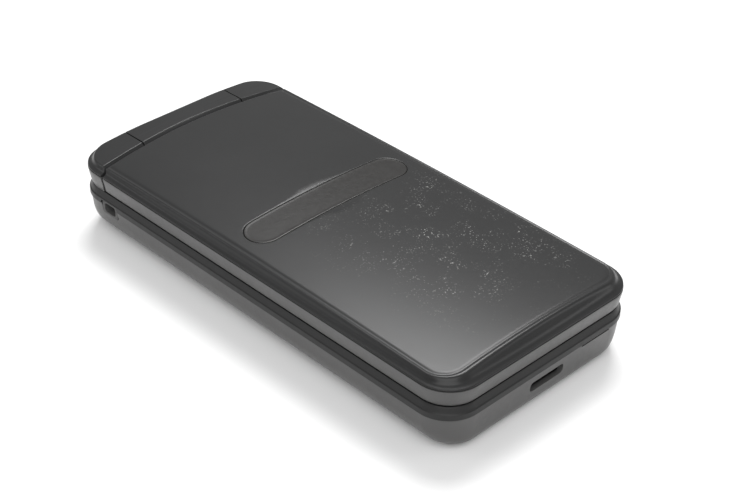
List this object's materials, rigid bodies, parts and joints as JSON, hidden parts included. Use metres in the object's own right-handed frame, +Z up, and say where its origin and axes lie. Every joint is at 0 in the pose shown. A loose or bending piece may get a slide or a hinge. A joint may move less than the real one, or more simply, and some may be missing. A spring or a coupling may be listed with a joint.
{
  "type": "flip phone",
  "caption": "Closed clamshell phone: crowned lid with a stadium inlay, hinge strip, two-tone bands, port and strap eye; opens to a keypad.",
  "frame": {"origin": "centre of the closed phone's outline, on the ground that it lies on", "axes": "+Z up through the lid, +Y towards the hinge end, -Y the end with the port, -X the side with the strap eye"},
  "size_m": [0.051, 0.107, 0.0179],
  "materials": {
    "cap_plastic": "fine matte, worn at the lid's free end",
    "case_plastic": "fine matte",
    "band_plastic": "satin, dark grey",
    "notice_plastic": "satin, a little browner than the lid",
    "inner_plastic": "moulded",
    "rubber": "soft",
    "mat_rubber": "translucent grey silicone",
    "battery_shell": "plain drawn can",
    "board": "solder mask",
    "steel": "plain",
    "flex": "polyimide film",
    "screw_steel": "blackened",
    "window": "gloss, printed black behind its border",
    "module_plastic": "gloss black",
    "key_plastic": "satin",
    "nav_plastic": "satin"
  },
  "bodies": {
    "base": {"battery_cover": "band_plastic", "upper_case": "case_plastic", "chassis": "inner_plastic", "cover_seal": "rubber", "battery_pack": "battery_shell", "main_board": "board", "dome_sheet": "steel", "key_mat": "mat_rubber", "usb_socket": "steel", "card_tray": "steel", "camera_module": "module_plastic", "camera_window": "window", "loudspeaker": "module_plastic", "vibration_motor": "steel", "base_screws": "screw_steel", "knuckle_left": "band_plastic", "knuckle_right": "band_plastic", "hinge_cap_left": "cap_plastic", "hinge_cap_right": "cap_plastic", "hinge_unit": "steel", "pivot_bush": "steel", "hinge_flex": "flex"},
    "lid": {"hinge_shaft": "steel", "barrel_cover": "cap_plastic", "lid_frame": "band_plastic", "lid_cover": "cap_plastic", "notice_window": "notice_plastic", "sub_display": "module_plastic", "lid_board": "board", "main_display": "module_plastic", "main_window": "window", "earpiece": "inner_plastic", "earpiece_mesh": "steel", "lid_bumpers": "rubber", "lid_screws": "screw_steel"},
    "body_key_select": {"key_select": "nav_plastic"},
    "body_nav_up": {"nav_up": "nav_plastic"},
    "body_nav_down": {"nav_down": "nav_plastic"},
    "body_nav_left": {"nav_left": "nav_plastic"},
    "body_nav_right": {"nav_right": "nav_plastic"},
    "body_key_soft_left": {"key_soft_left": "key_plastic"},
    "body_key_soft_right": {"key_soft_right": "key_plastic"},
    "body_key_mail": {"key_mail": "key_plastic"},
    "body_key_web": {"key_web": "key_plastic"},
    "body_key_star": {"key_star": "key_plastic"},
    "body_key_0": {"key_0": "key_plastic"},
    "body_key_hash": {"key_hash": "key_plastic"},
    "body_key_7": {"key_7": "key_plastic"},
    "body_key_8": {"key_8": "key_plastic"},
    "body_key_9": {"key_9": "key_plastic"},
    "body_key_4": {"key_4": "key_plastic"},
    "body_key_5": {"key_5": "key_plastic"},
    "body_key_6": {"key_6": "key_plastic"},
    "body_key_1": {"key_1": "key_plastic"},
    "body_key_2": {"key_2": "key_plastic"},
    "body_key_3": {"key_3": "key_plastic"},
    "body_key_call": {"key_call": "key_plastic"},
    "body_key_clear": {"key_clear": "key_plastic"},
    "body_key_end": {"key_end": "key_plastic"}
  },
  "joints": [
    {"name": "lid_hinge", "type": "hinge", "parent": "base", "child": "lid", "pos_m": [0, 0.049, 0.0129], "axis": [-1, 0, 0], "range_deg": [0, 160]},
    {"name": "key_select_press", "type": "slide", "parent": "base", "child": "body_key_select", "axis": [0, 0, -1], "range_m": [0, 0.0003], "stiffness_N_per_m": 2000, "springref_m": -0.0001},
    {"name": "nav_up_press", "type": "slide", "parent": "base", "child": "body_nav_up", "axis": [0, 0, -1], "range_m": [0, 0.0003], "stiffness_N_per_m": 2000, "springref_m": -0.0001},
    {"name": "nav_down_press", "type": "slide", "parent": "base", "child": "body_nav_down", "axis": [0, 0, -1], "range_m": [0, 0.0003], "stiffness_N_per_m": 2000, "springref_m": -0.0001},
    {"name": "nav_left_press", "type": "slide", "parent": "base", "child": "body_nav_left", "axis": [0, 0, -1], "range_m": [0, 0.0003], "stiffness_N_per_m": 2000, "springref_m": -0.0001},
    {"name": "nav_right_press", "type": "slide", "parent": "base", "child": "body_nav_right", "axis": [0, 0, -1], "range_m": [0, 0.0003], "stiffness_N_per_m": 2000, "springref_m": -0.0001},
    {"name": "key_soft_left_press", "type": "slide", "parent": "base", "child": "body_key_soft_left", "axis": [0, 0, -1], "range_m": [0, 0.0003], "stiffness_N_per_m": 2000, "springref_m": -0.0001},
    {"name": "key_soft_right_press", "type": "slide", "parent": "base", "child": "body_key_soft_right", "axis": [0, 0, -1], "range_m": [0, 0.0003], "stiffness_N_per_m": 2000, "springref_m": -0.0001},
    {"name": "key_mail_press", "type": "slide", "parent": "base", "child": "body_key_mail", "axis": [0, 0, -1], "range_m": [0, 0.0003], "stiffness_N_per_m": 2000, "springref_m": -0.0001},
    {"name": "key_web_press", "type": "slide", "parent": "base", "child": "body_key_web", "axis": [0, 0, -1], "range_m": [0, 0.0003], "stiffness_N_per_m": 2000, "springref_m": -0.0001},
    {"name": "key_star_press", "type": "slide", "parent": "base", "child": "body_key_star", "axis": [0, 0, -1], "range_m": [0, 0.0003], "stiffness_N_per_m": 2000, "springref_m": -0.0001},
    {"name": "key_0_press", "type": "slide", "parent": "base", "child": "body_key_0", "axis": [0, 0, -1], "range_m": [0, 0.0003], "stiffness_N_per_m": 2000, "springref_m": -0.0001},
    {"name": "key_hash_press", "type": "slide", "parent": "base", "child": "body_key_hash", "axis": [0, 0, -1], "range_m": [0, 0.0003], "stiffness_N_per_m": 2000, "springref_m": -0.0001},
    {"name": "key_7_press", "type": "slide", "parent": "base", "child": "body_key_7", "axis": [0, 0, -1], "range_m": [0, 0.0003], "stiffness_N_per_m": 2000, "springref_m": -0.0001},
    {"name": "key_8_press", "type": "slide", "parent": "base", "child": "body_key_8", "axis": [0, 0, -1], "range_m": [0, 0.0003], "stiffness_N_per_m": 2000, "springref_m": -0.0001},
    {"name": "key_9_press", "type": "slide", "parent": "base", "child": "body_key_9", "axis": [0, 0, -1], "range_m": [0, 0.0003], "stiffness_N_per_m": 2000, "springref_m": -0.0001},
    {"name": "key_4_press", "type": "slide", "parent": "base", "child": "body_key_4", "axis": [0, 0, -1], "range_m": [0, 0.0003], "stiffness_N_per_m": 2000, "springref_m": -0.0001},
    {"name": "key_5_press", "type": "slide", "parent": "base", "child": "body_key_5", "axis": [0, 0, -1], "range_m": [0, 0.0003], "stiffness_N_per_m": 2000, "springref_m": -0.0001},
    {"name": "key_6_press", "type": "slide", "parent": "base", "child": "body_key_6", "axis": [0, 0, -1], "range_m": [0, 0.0003], "stiffness_N_per_m": 2000, "springref_m": -0.0001},
    {"name": "key_1_press", "type": "slide", "parent": "base", "child": "body_key_1", "axis": [0, 0, -1], "range_m": [0, 0.0003], "stiffness_N_per_m": 2000, "springref_m": -0.0001},
    {"name": "key_2_press", "type": "slide", "parent": "base", "child": "body_key_2", "axis": [0, 0, -1], "range_m": [0, 0.0003], "stiffness_N_per_m": 2000, "springref_m": -0.0001},
    {"name": "key_3_press", "type": "slide", "parent": "base", "child": "body_key_3", "axis": [0, 0, -1], "range_m": [0, 0.0003], "stiffness_N_per_m": 2000, "springref_m": -0.0001},
    {"name": "key_call_press", "type": "slide", "parent": "base", "child": "body_key_call", "axis": [0, 0, -1], "range_m": [0, 0.0003], "stiffness_N_per_m": 2000, "springref_m": -0.0001},
    {"name": "key_clear_press", "type": "slide", "parent": "base", "child": "body_key_clear", "axis": [0, 0, -1], "range_m": [0, 0.0003], "stiffness_N_per_m": 2000, "springref_m": -0.0001},
    {"name": "key_end_press", "type": "slide", "parent": "base", "child": "body_key_end", "axis": [0, 0, -1], "range_m": [0, 0.0003], "stiffness_N_per_m": 2000, "springref_m": -0.0001}
  ]
}
